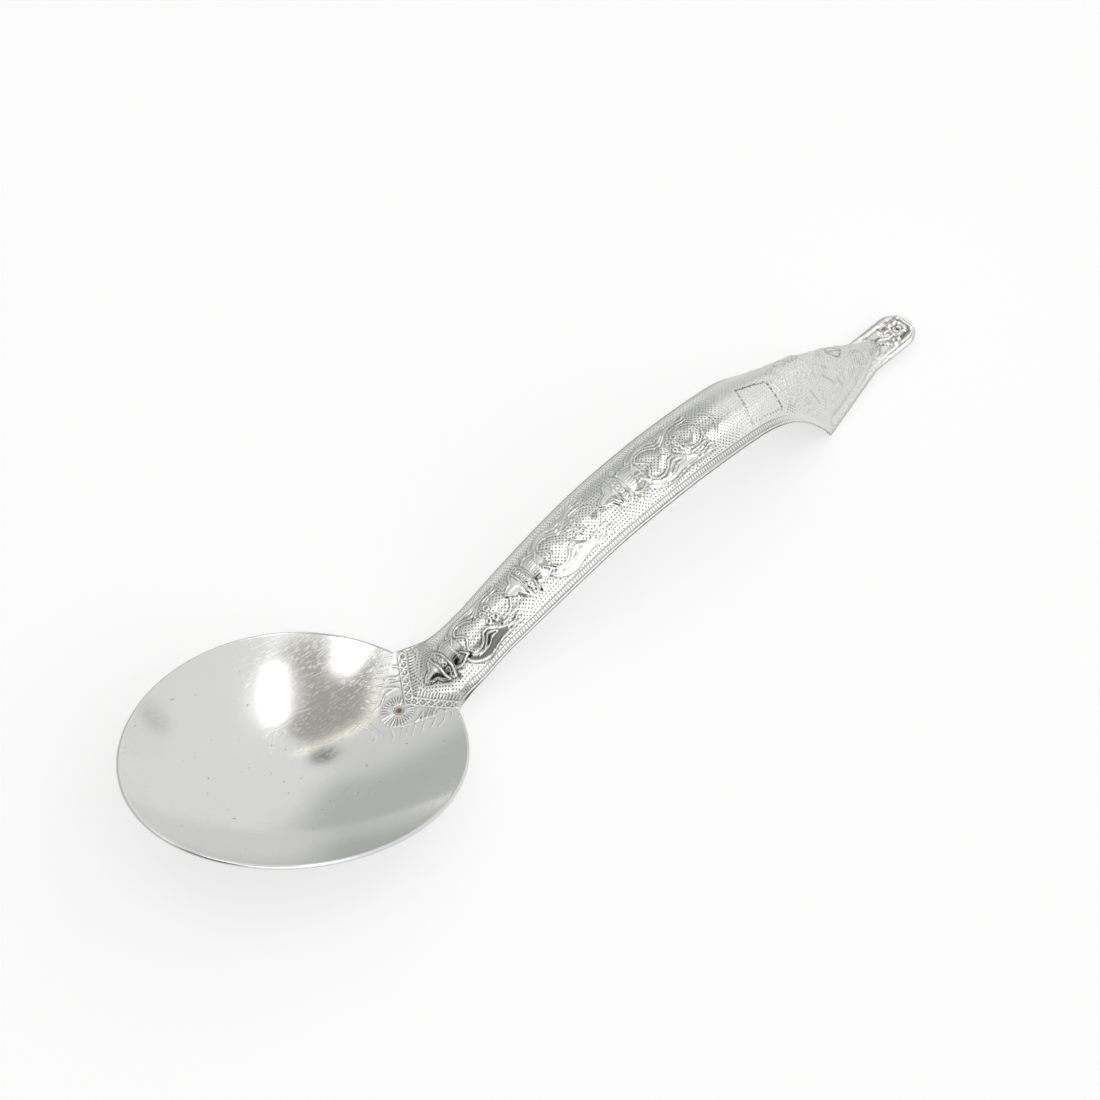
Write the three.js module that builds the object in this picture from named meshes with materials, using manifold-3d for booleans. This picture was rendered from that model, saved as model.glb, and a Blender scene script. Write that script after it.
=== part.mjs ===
// Serving spoon in pressed aluminium sheet: an oval bowl and an arched channel handle that ends in a
// barbed hood and a flat round tab. Millimetres, +Z up. The spoon lies on a table at z = 0, with the
// bowl towards -X and the tab towards +X, and the origin is the middle of its footprint.
import * as THREE from 'three';
import { mergeVertices } from 'three/addons/utils/BufferGeometryUtils.js';
import Module from 'manifold-3d';

// Driving dimensions
const SHEET = 1.0; // thickness of the aluminium
const SEAM = 0.3; // gap along the V seam between bowl and handle

const BOWL_LENGTH = 83.6; // inside the rim, along the spoon
const BOWL_WIDTH = 66.6; // inside the rim, across the middle
const BOWL_DEPTH = 13.0; // from the rim's plane to the inside floor
const BOWL_SWELL = 0.063; // how much wider the bowl is at its handle end, as a share of its width
const BOWL_TILT = 17.5; // degrees that the rim dips towards the handle as the spoon lies

const NECK_WIDTH = 21.4; // across the root where it crosses the rim
const ROOT_DEPTH = 17.4; // how far the point of the V reaches in from the end of the rim
const ROOT_TIP = 4.0; // width of the blunt point of the V
const COLLAR_DEPTH = 9.0; // from the end of the rim to the point of the collar, where the arch begins
const BLEND_LENGTH = 14.0; // over which the bowl's hollow wall turns into the raised arch

const HANDLE_LENGTH = 159.5; // from the end of the rim to the end of the tab
const HANDLE_WIDTH = 19.7; // across the edges where the notches begin
const WAIST_WIDTH = 16.5; // across the edges at the narrowest place
const WAIST_FROM_NECK = 17.0; // from the end of the rim to the narrowest place
const CREST_HEIGHT = 24.3; // highest point of the crest over the table
const WAIST_ARCH = 5.8; // crest over the edges at the waist
const ARCH_HEIGHT = 4.6; // crest over the edges along the middle of the handle

const BARB_SPAN = 22.4; // across the points of the barbs
const BARB_FROM_END = 40.0; // from the points of the barbs to the end of the tab
const BARB_LIFT = 1.6; // upper side of the notches' lower ends over the table
const NOTCH_LENGTH = 25.0; // along the curved notch ahead of each barb
const NOSE_FROM_END = 10.5; // from the point of the hood's crease to the end of the tab
const TAB_LIFT = 2.4; // rise of the brim and tab from the barbs, which touch the table, to the tab's end
const TAB_WIDTH = 10.4; // across the flat tab, and the diameter of its round end
const TAB_TAPER = 17.0; // from the end of the tab to where the shoulders begin
const BRIM_WIDTH = 1.2; // flat strip outside the hood's crease at the barbs
const EYE_FROM_END = 4.2; // from the ring's centre to the end of the tab
const EYE_DIAMETER = 3.8; // middle of the raised ring on the tab
const EYE_RISE = 0.5; // ring over the tab
const EYE_WIDTH = 1.0; // across the ring's half-round section

// How the crest climbs from the collar to the barbs: share of that length, share of the peak's height
const CREST_CLIMB = [
  [0, 0.13],
  [0.14, 0.4],
  [0.29, 0.67],
  [0.46, 0.895],
  [0.6, 0.985],
  [0.7, 1],
  [0.8, 0.975],
  [0.9, 0.906],
  [1, 0.818],
];
const FILLET_POWER = 2.4; // how quickly the neck draws in to the waist
const WIDEN_POWER = 2.5; // how quickly the waist opens out to the handle's width
const NOTCH_POWER = 2.4; // how sharply the edge turns down into the barb
const FLARE_POWER = 5; // how late the barb flares sideways
const NOSE_POWER = 1.05; // roundness of the hood's falling crest
const CREASE_POWER = 0.85; // fullness of the crease in plan
const ARCH_FULLNESS = 2.0; // power of the arch's section on the plain stretch
const HOOD_FULLNESS = 3.0; // power of the hood's section at its nose

// Counts that set how fine the facets are
const BOWL_RINGS = 14;
const BOWL_SECTORS = 72;
const ARCH_LINES = 7; // lines on each side of the crest, out to the crease
const BRIM_LINES = 2; // lines from the crease to the edge

const tilt = THREE.MathUtils.degToRad(BOWL_TILT);
const halfLength = BOWL_LENGTH / 2;
const halfBowl = BOWL_WIDTH / 2;

// The bowl in its own frame, with the rim's centre at the origin and the rim flat

function bowlHalfWidth(x) {
  return halfBowl * (1 + (BOWL_SWELL * x) / halfLength);
}

function bowlFloor(x, y) {
  const along = x / halfLength;
  const across = y / bowlHalfWidth(x);
  return BOWL_DEPTH * (along * along + across * across - 1);
}

function rimPoint(angle, share) {
  const x = share * halfLength * Math.cos(angle);
  const y = share * halfBowl * Math.sin(angle) * (1 + BOWL_SWELL * share * Math.cos(angle));
  return new THREE.Vector3(x, y, bowlFloor(x, y));
}

function layDown(point, rimHeight) {
  const x = point.x * Math.cos(tilt) + point.z * Math.sin(tilt);
  const z = -point.x * Math.sin(tilt) + point.z * Math.cos(tilt) + rimHeight;
  return new THREE.Vector3(x, point.y, z);
}

// Closed solids from sheets

function surfaceNormals(points, triangles) {
  const normals = points.map(() => new THREE.Vector3());
  const edgeA = new THREE.Vector3();
  const edgeB = new THREE.Vector3();
  for (const [a, b, c] of triangles) {
    edgeA.subVectors(points[b], points[a]);
    edgeB.subVectors(points[c], points[a]);
    const face = new THREE.Vector3().crossVectors(edgeA, edgeB);
    for (const corner of [a, b, c]) {
      normals[corner].add(face);
    }
  }
  return normals.map((normal) => normal.normalize());
}

// The upper side is given. The lower side lies one sheet below it, and the border is walled round.
function sheetSolid(points, triangles, border) {
  const normals = surfaceNormals(points, triangles);
  const under = points.map((point, i) => point.clone().addScaledVector(normals[i], -SHEET));
  const count = points.length;
  const index = [];
  for (const [a, b, c] of triangles) {
    index.push(a, b, c);
    index.push(count + a, count + c, count + b);
  }
  for (let i = 0; i < border.length; i++) {
    const a = border[i];
    const b = border[(i + 1) % border.length];
    index.push(a, count + a, b);
    index.push(b, count + a, count + b);
  }
  const geometry = new THREE.BufferGeometry();
  const all = [...points, ...under];
  geometry.setAttribute('position', new THREE.Float32BufferAttribute(all.flatMap((p) => p.toArray()), 3));
  geometry.setIndex(index);
  return geometry;
}

// Joining and cutting

const wasm = await Module();
wasm.setup();

function toManifold(geometry) {
  const plain = geometry.clone();
  plain.deleteAttribute('normal');
  plain.deleteAttribute('uv');
  const merged = mergeVertices(plain, 1e-4);
  const vertProperties = new Float32Array(merged.attributes.position.array);
  const triVerts = new Uint32Array(merged.index.array);
  return new wasm.Manifold(new wasm.Mesh({ numProp: 3, vertProperties, triVerts }));
}

function toGeometry(manifold) {
  const mesh = manifold.getMesh();
  const geometry = new THREE.BufferGeometry();
  geometry.setAttribute('position', new THREE.Float32BufferAttribute(mesh.vertProperties, 3));
  geometry.setIndex(new THREE.Uint32BufferAttribute(mesh.triVerts, 1));
  return geometry;
}

// Bowl

function bowlShell() {
  const points = [rimPoint(0, 0)];
  const triangles = [];
  for (let ring = 1; ring <= BOWL_RINGS; ring++) {
    for (let sector = 0; sector < BOWL_SECTORS; sector++) {
      points.push(rimPoint((2 * Math.PI * sector) / BOWL_SECTORS, ring / BOWL_RINGS));
    }
  }
  const at = (ring, sector) => 1 + (ring - 1) * BOWL_SECTORS + (sector % BOWL_SECTORS);
  for (let sector = 0; sector < BOWL_SECTORS; sector++) {
    triangles.push([0, at(1, sector), at(1, sector + 1)]);
    for (let ring = 1; ring < BOWL_RINGS; ring++) {
      triangles.push([at(ring, sector), at(ring + 1, sector), at(ring + 1, sector + 1)]);
      triangles.push([at(ring, sector), at(ring + 1, sector + 1), at(ring, sector + 1)]);
    }
  }
  const border = Array.from({ length: BOWL_SECTORS }, (_, sector) => at(BOWL_RINGS, sector));
  const flat = points.map((point) => layDown(point, 0));
  return sheetSolid(flat, triangles, border);
}

const shell = bowlShell();
shell.computeBoundingBox();
const rimHeight = -shell.boundingBox.min.z;
shell.translate(0, 0, rimHeight);

// Height of the bowl's inside, carried on past the rim, over a point of the table
function bowlHeight(x, y) {
  let along = x / Math.cos(tilt);
  for (let pass = 0; pass < 20; pass++) {
    along = (x - bowlFloor(along, y) * Math.sin(tilt)) / Math.cos(tilt);
  }
  return layDown(new THREE.Vector3(along, y, bowlFloor(along, y)), rimHeight).z;
}

// Plan of the V: its point on the middle line and its corners on the rim
function rimCorner() {
  let angle = 0;
  for (let pass = 0; pass < 20; pass++) {
    const swell = 1 + BOWL_SWELL * Math.cos(angle);
    angle = Math.asin(NECK_WIDTH / 2 / (halfBowl * swell));
  }
  return layDown(rimPoint(angle, 1), rimHeight);
}

const neckX = layDown(rimPoint(0, 1), rimHeight).x;
const corner = rimCorner();
const rootX = neckX - ROOT_DEPTH;
const collarX = neckX - COLLAR_DEPTH;
const armRun = corner.x - rootX;
const armRise = (NECK_WIDTH - ROOT_TIP) / 2;

function notchCutter() {
  const length = Math.hypot(armRun, armRise);
  const reach = 2 * ROOT_DEPTH;
  const sideX = (SEAM * armRise) / length;
  const sideY = (SEAM * armRun) / length;
  const tipX = rootX - SEAM;
  const tipY = ROOT_TIP / 2 + sideY + ((tipX - rootX + sideX) * armRise) / armRun;
  const farX = corner.x + reach - sideX;
  const farY = corner.y + (reach * armRise) / armRun + sideY;
  const plan = new THREE.Shape([
    new THREE.Vector2(tipX, -tipY),
    new THREE.Vector2(farX, -farY),
    new THREE.Vector2(farX, farY),
    new THREE.Vector2(tipX, tipY),
  ]);
  const height = rimHeight + halfLength;
  const cutter = new THREE.ExtrudeGeometry(plan, { depth: 2 * height, bevelEnabled: false });
  return cutter.translate(0, 0, -height);
}

const bowlGeometry = toGeometry(toManifold(shell).subtract(toManifold(notchCutter())));

// Handle: shapes along its length, measured on the table from under the rim's centre

const endX = neckX + HANDLE_LENGTH;
const barbX = endX - BARB_FROM_END;
const notchX = barbX - NOTCH_LENGTH;
const waistX = neckX + WAIST_FROM_NECK;
const noseX = endX - NOSE_FROM_END;
const taperX = endX - TAB_TAPER;
const roundX = endX - TAB_WIDTH / 2;

function smooth(t) {
  const held = THREE.MathUtils.clamp(t, 0, 1);
  return held * held * (3 - 2 * held);
}

const climb = new THREE.SplineCurve(CREST_CLIMB.map(([along, height]) => new THREE.Vector2(along, height)));
const climbPoints = climb.getPoints(120);

function climbShare(share) {
  const held = THREE.MathUtils.clamp(share, 0, 1);
  const after = Math.max(1, climbPoints.findIndex((point) => point.x >= held));
  const [a, b] = [climbPoints[after - 1], climbPoints[after]];
  return THREE.MathUtils.lerp(a.y, b.y, (held - a.x) / (b.x - a.x));
}

// Upper side of the flat brim and tab, which slope up a little from the barbs
const brimSlope = TAB_LIFT / BARB_FROM_END;

function brimHeight(x) {
  return SHEET + brimSlope * Math.max(0, x - barbX);
}

function crestHeight(x) {
  if (x <= barbX) return CREST_HEIGHT * climbShare((x - collarX) / (barbX - collarX));
  const fall = Math.min(1, (x - barbX) / (noseX - barbX));
  return brimHeight(x) + (crestHeight(barbX) - SHEET) * (1 - fall ** NOSE_POWER);
}

function halfWidth(x) {
  if (x <= corner.x) return ROOT_TIP / 2 + (armRise * (x - rootX)) / armRun;
  if (x <= waistX) {
    const left = (waistX - x) / (waistX - corner.x);
    return (WAIST_WIDTH + (NECK_WIDTH - WAIST_WIDTH) * left ** FILLET_POWER) / 2;
  }
  if (x <= barbX) {
    const open = Math.min(1, (x - waistX) / (notchX - waistX));
    const flare = Math.max(0, (x - notchX) / NOTCH_LENGTH);
    const strip = WAIST_WIDTH + (HANDLE_WIDTH - WAIST_WIDTH) * (1 - (1 - open) ** WIDEN_POWER);
    return (strip + (BARB_SPAN - HANDLE_WIDTH) * flare ** FLARE_POWER) / 2;
  }
  if (x <= taperX) return THREE.MathUtils.mapLinear(x, barbX, taperX, BARB_SPAN, TAB_WIDTH) / 2;
  if (x <= roundX) return TAB_WIDTH / 2;
  return Math.sqrt(Math.max(0, (TAB_WIDTH / 2) ** 2 - (x - roundX) ** 2));
}

// Half width of the crease, where the hood's side meets the flat brim
function creaseWidth(x) {
  const edge = halfWidth(x);
  const inside = edge * (1 - BRIM_WIDTH / (BARB_SPAN / 2));
  if (x <= barbX) return inside;
  const left = Math.max(0, (noseX - x) / (noseX - barbX));
  const hood = (BARB_SPAN / 2) * left ** CREASE_POWER;
  return THREE.MathUtils.clamp(hood, BRIM_WIDTH / 2, inside);
}

function archHeight(x, y) {
  const crest = crestHeight(x);
  if (x <= barbX) {
    const turn = Math.max(0, (x - notchX) / NOTCH_LENGTH) ** NOTCH_POWER;
    const middle = smooth((2 * (x - waistX)) / (notchX - waistX));
    const strip = THREE.MathUtils.lerp(WAIST_ARCH, ARCH_HEIGHT, middle);
    const drop = THREE.MathUtils.lerp(strip, crestHeight(barbX) - BARB_LIFT, turn);
    return crest - drop * (Math.abs(y) / halfWidth(x)) ** ARCH_FULLNESS;
  }
  const across = Math.min(1, Math.abs(y) / creaseWidth(x));
  const fullness = THREE.MathUtils.lerp(ARCH_FULLNESS, HOOD_FULLNESS, smooth((x - barbX) / NOTCH_LENGTH));
  return crest - (crest - brimHeight(x)) * across ** fullness;
}

// The root is the bowl's own wall, and the arch grows out of it behind the collar
function handleHeight(x, y) {
  const startX = collarX + ((corner.x - collarX) * Math.abs(y)) / corner.y;
  const grown = smooth((x - startX) / BLEND_LENGTH);
  if (grown >= 1) return archHeight(x, y);
  return THREE.MathUtils.lerp(bowlHeight(x, y), archHeight(x, y), grown);
}

function spread(from, to, count) {
  return Array.from({ length: count }, (_, i) => THREE.MathUtils.lerp(from, to, i / count));
}

function handleStations() {
  const round = [];
  for (let turn = 0; turn <= 80; turn += 16) {
    round.push(roundX + (TAB_WIDTH / 2) * Math.sin(THREE.MathUtils.degToRad(turn)));
  }
  return [
    ...spread(rootX, corner.x, 8),
    ...spread(corner.x, waistX, 8),
    ...spread(waistX, notchX, 16),
    ...spread(notchX, barbX, 10),
    ...spread(barbX, noseX, 14),
    ...spread(noseX, roundX, 3),
    ...round,
  ];
}

// Places across a station, from one edge to the other: closer together near the crease
function acrossPlaces(x) {
  const crease = creaseWidth(x);
  const edge = halfWidth(x);
  const half = [];
  for (let line = 1; line <= ARCH_LINES; line++) {
    half.push(crease * Math.sin((Math.PI * line) / (2 * ARCH_LINES)));
  }
  for (let line = 1; line <= BRIM_LINES; line++) {
    half.push(crease + ((edge - crease) * line) / BRIM_LINES);
  }
  return [...half.map((y) => -y).reverse(), 0, ...half];
}

function handleSheet() {
  const stations = handleStations();
  const rows = stations.map((x) => acrossPlaces(x).map((y) => new THREE.Vector3(x, y, handleHeight(x, y))));
  const width = rows[0].length;
  const last = rows.length - 1;
  const triangles = [];
  const at = (row, column) => row * width + column;
  for (let row = 0; row < last; row++) {
    for (let column = 0; column < width - 1; column++) {
      triangles.push([at(row, column), at(row + 1, column), at(row + 1, column + 1)]);
      triangles.push([at(row, column), at(row + 1, column + 1), at(row, column + 1)]);
    }
  }
  const forward = Array.from({ length: last }, (_, row) => row);
  const outward = Array.from({ length: width - 1 }, (_, column) => column);
  const border = [
    ...forward.map((row) => at(row, 0)),
    ...outward.map((column) => at(last, column)),
    ...forward.map((row) => at(last - row, width - 1)),
    ...outward.map((column) => at(0, width - 1 - column)),
  ];
  return sheetSolid(rows.flat(), triangles, border);
}

// Raised ring on the tab, a half-round bead sunk a little into the sheet
function tabEye() {
  const section = new THREE.Path();
  section.absellipse(EYE_DIAMETER / 2, 0, EYE_WIDTH / 2, EYE_RISE, 0, 2 * Math.PI, false, 0);
  const profile = section.getPoints(6);
  const ring = new THREE.LatheGeometry(profile, 24);
  ring.rotateX(Math.PI / 2);
  ring.rotateY(-Math.atan(brimSlope));
  const eyeX = endX - EYE_FROM_END;
  return ring.translate(eyeX, 0, brimHeight(eyeX));
}

const handleGeometry = toGeometry(toManifold(handleSheet()).add(toManifold(tabEye())));

// Scene graph

const aluminium = { color: 0xd9dad6, metalness: 1, roughness: 0.22 };

const bowl = new THREE.Mesh(bowlGeometry, new THREE.MeshStandardMaterial(aluminium));
bowl.name = 'bowl';

const handle = new THREE.Mesh(
  handleGeometry,
  new THREE.MeshStandardMaterial({ ...aluminium, roughness: 0.3 }),
);
handle.name = 'handle';

const spoon = new THREE.Group();
spoon.add(bowl, handle);

// The origin goes to the middle of the footprint
const footprint = new THREE.Box3().setFromObject(spoon);
const middle = footprint.getCenter(new THREE.Vector3());
spoon.position.set(-middle.x, -middle.y, -footprint.min.z);

export default spoon;
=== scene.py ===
# %% [markdown]
# # A pressed aluminium serving spoon
# The real spoon is stamped from one thickness of soft aluminium sheet. A plain oval bowl is joined to an
# arched handle, and the die has pressed figures, dotted grounds and borders into the handle's upper side.
# The solids of both pieces come from CAD as a fixed frame. Here each is replaced by a finer mesh of the
# same sheet, with the ornament as real relief, and then gets its metal.

# %% Load the frame
import math

import bmesh
import bpy
import numpy as np
from mathutils import Matrix, Vector


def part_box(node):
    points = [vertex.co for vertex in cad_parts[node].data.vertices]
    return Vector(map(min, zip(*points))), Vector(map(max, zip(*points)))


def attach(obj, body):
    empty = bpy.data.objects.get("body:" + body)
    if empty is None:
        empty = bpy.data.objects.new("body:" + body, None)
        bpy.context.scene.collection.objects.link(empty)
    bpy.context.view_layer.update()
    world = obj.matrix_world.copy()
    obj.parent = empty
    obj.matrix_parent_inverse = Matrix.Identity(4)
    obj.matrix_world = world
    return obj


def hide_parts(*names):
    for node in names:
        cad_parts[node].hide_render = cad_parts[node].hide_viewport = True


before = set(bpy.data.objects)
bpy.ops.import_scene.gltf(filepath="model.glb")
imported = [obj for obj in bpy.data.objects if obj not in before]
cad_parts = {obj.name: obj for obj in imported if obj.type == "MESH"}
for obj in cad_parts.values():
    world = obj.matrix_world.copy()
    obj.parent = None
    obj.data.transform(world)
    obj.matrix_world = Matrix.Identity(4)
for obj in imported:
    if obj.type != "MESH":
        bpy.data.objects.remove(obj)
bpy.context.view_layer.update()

# %% [markdown]
# ## The sheet's sizes
# A press tool is drawn in millimetres, so the sizes here are too, and each mesh is scaled to metres when it
# is made. X runs along the spoon from the bowl to the tab, Y across it, and the table is at Z = 0. The
# frame says where the tab ends, and every other place is measured back from there.

# %% Sizes in millimetres
MM = 0.001
SHEET = 1.0
BOWL_LENGTH, BOWL_WIDTH, BOWL_DEPTH = 83.6, 66.6, 13.0
BOWL_SWELL = 0.063
TILT = math.radians(17.5)
NECK_WIDTH, ROOT_DEPTH, ROOT_TIP = 21.4, 17.4, 4.0
COLLAR_DEPTH, BLEND_LENGTH = 9.0, 14.0
HANDLE_LENGTH, HANDLE_WIDTH = 159.5, 19.7
WAIST_WIDTH, WAIST_FROM_NECK = 16.5, 17.0
CREST_HEIGHT, WAIST_ARCH, ARCH_HEIGHT = 24.3, 5.8, 4.6
BARB_SPAN, BARB_FROM_END, BARB_LIFT = 22.4, 40.0, 1.6
NOTCH_LENGTH, NOSE_FROM_END, TAB_LIFT = 25.0, 10.5, 2.4
TAB_WIDTH, TAB_TAPER, BRIM_WIDTH = 10.4, 17.0, 1.2
EYE_FROM_END = 4.2
# the frame's tab stops this far short of its full round
END_SHORT = 0.02

half_length, half_bowl = BOWL_LENGTH / 2, BOWL_WIDTH / 2
end_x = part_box("handle")[1].x / MM + END_SHORT
neck_x = end_x - HANDLE_LENGTH
rim_x = neck_x - half_length * math.cos(TILT)
root_x = neck_x - ROOT_DEPTH
collar_x = neck_x - COLLAR_DEPTH
waist_x = neck_x + WAIST_FROM_NECK
barb_x = end_x - BARB_FROM_END
notch_x = barb_x - NOTCH_LENGTH
nose_x = end_x - NOSE_FROM_END
taper_x = end_x - TAB_TAPER
round_x = end_x - TAB_WIDTH / 2
print("rim's centre at X =", round(rim_x, 2), "mm, tab's end at X =", round(end_x, 2), "mm")


def smooth(t):
    t = np.clip(t, 0, 1)
    return t * t * (3 - 2 * t)


def mix(a, b, t):
    return a + (b - a) * t


# %% [markdown]
# ## The camera
# The photograph looks down on the spoon from the bowl's left, at a little over fifty degrees. A camera is
# placed by three directions: right, up and back towards the lens. Two angles give all three.

# %% Camera
LOOK_TURN, LOOK_DOWN = math.radians(43.4), math.radians(52.12)
LOOK_AT = Vector((63.65, -13.62, 42.52)) + Vector((rim_x, 0, 0))
LOOK_FROM = 650.0
LENS = 97.85

ahead = Vector((math.sin(LOOK_TURN), math.cos(LOOK_TURN), 0))
lens_right = Vector((math.cos(LOOK_TURN), -math.sin(LOOK_TURN), 0))
lens_back = -ahead * math.cos(LOOK_DOWN) + Vector((0, 0, math.sin(LOOK_DOWN)))
lens_up = ahead * math.sin(LOOK_DOWN) + Vector((0, 0, math.cos(LOOK_DOWN)))
eye = (LOOK_AT + lens_back * LOOK_FROM) * MM

bpy.ops.object.camera_add()
camera = bpy.context.object
camera.name = "photo_camera"
camera.data.lens = LENS
turn = Matrix((lens_right, lens_up, lens_back)).transposed()
camera.matrix_world = Matrix.Translation(eye) @ turn.to_4x4()
bpy.context.scene.camera = camera
print("camera at", tuple(round(v, 3) for v in eye), "m")

# %% [markdown]
# ## Writing shader maths
# Node trees get hard to read when every node is made by hand. `Wire` wraps one output socket, so that sums
# and products of wires can be written as Python, and `Net.add` makes any other node: its settings are set
# first, and then its sockets are given a number, a colour or another wire. Noise and bump get short forms.

# %% Wires
class Wire:
    def __init__(self, net, socket):
        self.net, self.socket = net, socket

    def maths(self, operation, first, second):
        return self.net.add("ShaderNodeMath", {"operation": operation}, {0: first, 1: second})

    def __add__(self, other):
        return self.maths("ADD", self, other)

    def __sub__(self, other):
        return self.maths("SUBTRACT", self, other)

    def __rsub__(self, other):
        return self.maths("SUBTRACT", other, self)

    def __mul__(self, other):
        return self.maths("MULTIPLY", self, other)

    __radd__, __rmul__ = __add__, __mul__


# %% Nets
class Net:
    def __init__(self, owner):
        owner.use_nodes = True
        self.tree = owner.node_tree
        self.tree.nodes.clear()

    def add(self, kind, settings=None, sockets=None, out=0):
        node = self.tree.nodes.new(kind)
        for name, value in (settings or {}).items():
            setattr(node, name, value)
        for key, value in (sockets or {}).items():
            if isinstance(value, Wire):
                self.tree.links.new(value.socket, node.inputs[key])
            else:
                node.inputs[key].default_value = value
        return Wire(self, node.outputs[out]) if node.outputs else node

    def sine(self, wire):
        return self.add("ShaderNodeMath", {"operation": "SINE"}, {0: wire})

    def step(self, wire, low, high):
        sockets = {"Value": wire, "From Min": low, "From Max": high}
        return self.add("ShaderNodeMapRange", {"interpolation_type": "SMOOTHSTEP"}, sockets)

    def near(self, wire, place, width):
        away = self.add("ShaderNodeMath", {"operation": "ABSOLUTE"}, {0: wire - place})
        return 1 - self.step(away, 0.3 * width, width)

    def between(self, wire, low, high, soft):
        return self.step(wire, low - soft, low + soft) * (1 - self.step(wire, high - soft, high + soft))

    def blend(self, share, first, second):
        colours = {"Factor": share, 6: first, 7: second}
        return self.add("ShaderNodeMix", {"data_type": "RGBA"}, colours, out=2)

    def attribute(self, name):
        return self.add("ShaderNodeAttribute", {"attribute_name": name}, out=2)

    def noise(self, place, scale, detail, **more):
        sockets = {"Vector": place, "Scale": scale, "Detail": detail, **more}
        return self.add("ShaderNodeTexNoise", sockets=sockets)

    def bump(self, strength, distance, height, **more):
        sockets = {"Strength": strength, "Distance": distance, "Height": height, **more}
        return self.add("ShaderNodeBump", sockets=sockets)


# %% [markdown]
# ## The studio
# Bright metal has almost no look of its own: it shows the room. The room is a pale tent, greyer on one
# side, with a grey roof, a bright hem, bright patches, and the dark of the camera and its stand. The world
# gives the tent, two area lamps the soft boxes, and a third with a narrow beam a card for the tab. The
# table is pale paper, lifted where the lens or the metal sees it, so it looks nearly white and keeps its
# soft shadows.

# %% The tent's cloths
def direction(azimuth, elevation):
    a, e = math.radians(azimuth), math.radians(elevation)
    return Vector((math.cos(e) * math.cos(a), math.cos(e) * math.sin(a), math.sin(e)))


TENT, TENT_GREY = (0.78, 0.785, 0.78, 1), (0.49, 0.5, 0.48, 1)
ROOF, HEM, FRONT = (0.375, 0.363, 0.336, 1), (1.3, 1.24, 1.1, 1), (1.35, 1.35, 1.34, 1)
STAND_DIM, LENS_DARK = (0.1, 0.1, 0.105, 1), (0.02, 0.021, 0.024, 1)
SEEN_WHITE = (0.945, 0.945, 0.95, 1)

world = bpy.data.worlds.new("tent")
bpy.context.scene.world = world
tent = Net(world)
ray = tent.add("ShaderNodeTexCoord", out=0)


def towards(aim):
    return tent.add("ShaderNodeVectorMath", {"operation": "DOT_PRODUCT"}, {0: ray, 1: aim}, out=1)


def spot(aim, full, none):
    low, high = math.cos(math.radians(none)), math.cos(math.radians(full))
    return tent.step(towards(aim), low, high)


# %% Roof and hem
ROOF_FRONT, ROOF_RIGHT, ROOF_LEFT = (-0.162, -0.909, 0.383), direction(-33, 0), direction(28, 0)
ROOF_RISE = (0.8, 0.83)
CLOTH_SOFT, LEFT_SOFT = 0.01, 0.05
HEM_WIDTH, HEM_SOFT, HEM_ENDS = 0.05, 0.008, (-0.03, -0.01)

rise = towards((0, 0, 1))
past_front, past_right = towards(ROOF_FRONT), towards(ROOF_RIGHT)
roof = tent.step(past_front, -CLOTH_SOFT, CLOTH_SOFT) * tent.step(past_right, -CLOTH_SOFT, CLOTH_SOFT)
roof = roof * tent.step(towards(ROOF_LEFT), -LEFT_SOFT, LEFT_SOFT) * tent.step(rise, *ROOF_RISE)
front_hem = tent.between(past_front, -HEM_WIDTH, 0.0, HEM_SOFT) * tent.step(past_right, *HEM_ENDS)
right_hem = tent.between(past_right, -HEM_WIDTH, 0.0, HEM_SOFT) * tent.step(past_front, *HEM_ENDS)
hem = (front_hem + right_hem) * spot(direction(42, 64), 16, 22)
print("roof and hem take", len(tent.tree.nodes), "nodes")

# %% Hang the tent
GREY_AIM, GREY_EDGE = direction(133, 0), (-0.08, 0.14)
GREY_ALOFT, LOW_EDGE = 0.35, (0.45, 0.68)
# each spot: azimuth and elevation, degrees to where it is full and where it ends, strength, colour
TENT_SPOTS = (
    ((-21, 54), 5, 14, 0.4, FRONT),
    ((-50, 81), 5, 9, 0.4, FRONT),
    ((-92, 40), 22, 34, 1, FRONT),
    ((-98, 73), 9, 15, 1, FRONT),
    ((130, 74), 8, 14, 1, FRONT),
    ((37, 51), 3, 6, 0.8, LENS_DARK),
    ((-12, 10), 1, 6, 0.3, LENS_DARK),
    ((-133, 30), 8, 18, 1, STAND_DIM),
    ((-152, 50), 13, 19, 1, LENS_DARK),
    ((-123, 55), 8, 12, 1, LENS_DARK),
)

low_down = 1 - tent.step(rise, *LOW_EDGE)
grey_side = tent.step(towards(GREY_AIM), *GREY_EDGE) * (GREY_ALOFT + (1 - GREY_ALOFT) * low_down)
sky = tent.blend(grey_side, TENT, TENT_GREY)
sky = tent.blend(roof, sky, ROOF)
sky = tent.blend(hem, sky, HEM)
for aim, full, none, strength, cloth in TENT_SPOTS:
    sky = tent.blend(spot(direction(*aim), full, none) * strength, sky, cloth)
sky = tent.blend(tent.add("ShaderNodeLightPath", out="Is Camera Ray"), sky, SEEN_WHITE)
background = tent.add("ShaderNodeBackground", sockets={"Color": sky})
tent.add("ShaderNodeOutputWorld", sockets={"Surface": background})
print("tent made with", len(tent.tree.nodes), "nodes")

# %% Soft boxes
STUDIO_CENTRE = Vector((0, 0, 0.01))
# each box: name, azimuth and elevation in degrees, distance, width and height in metres, brightness
SOFT_BOXES = (
    ("long_soft_box", (-24, 57), 1.17, 0.4, 0.19, 1.6),
    ("top_soft_box", (-66, 82.5), 1.2, 0.24, 0.24, 1.5),
)


def area_lamp(name, centre, aim, away):
    bpy.ops.object.light_add(type="AREA", location=centre + aim * away)
    lamp = bpy.context.object
    lamp.name = name
    lamp.rotation_euler = aim.to_track_quat("Z", "Y").to_euler()
    return lamp


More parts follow.
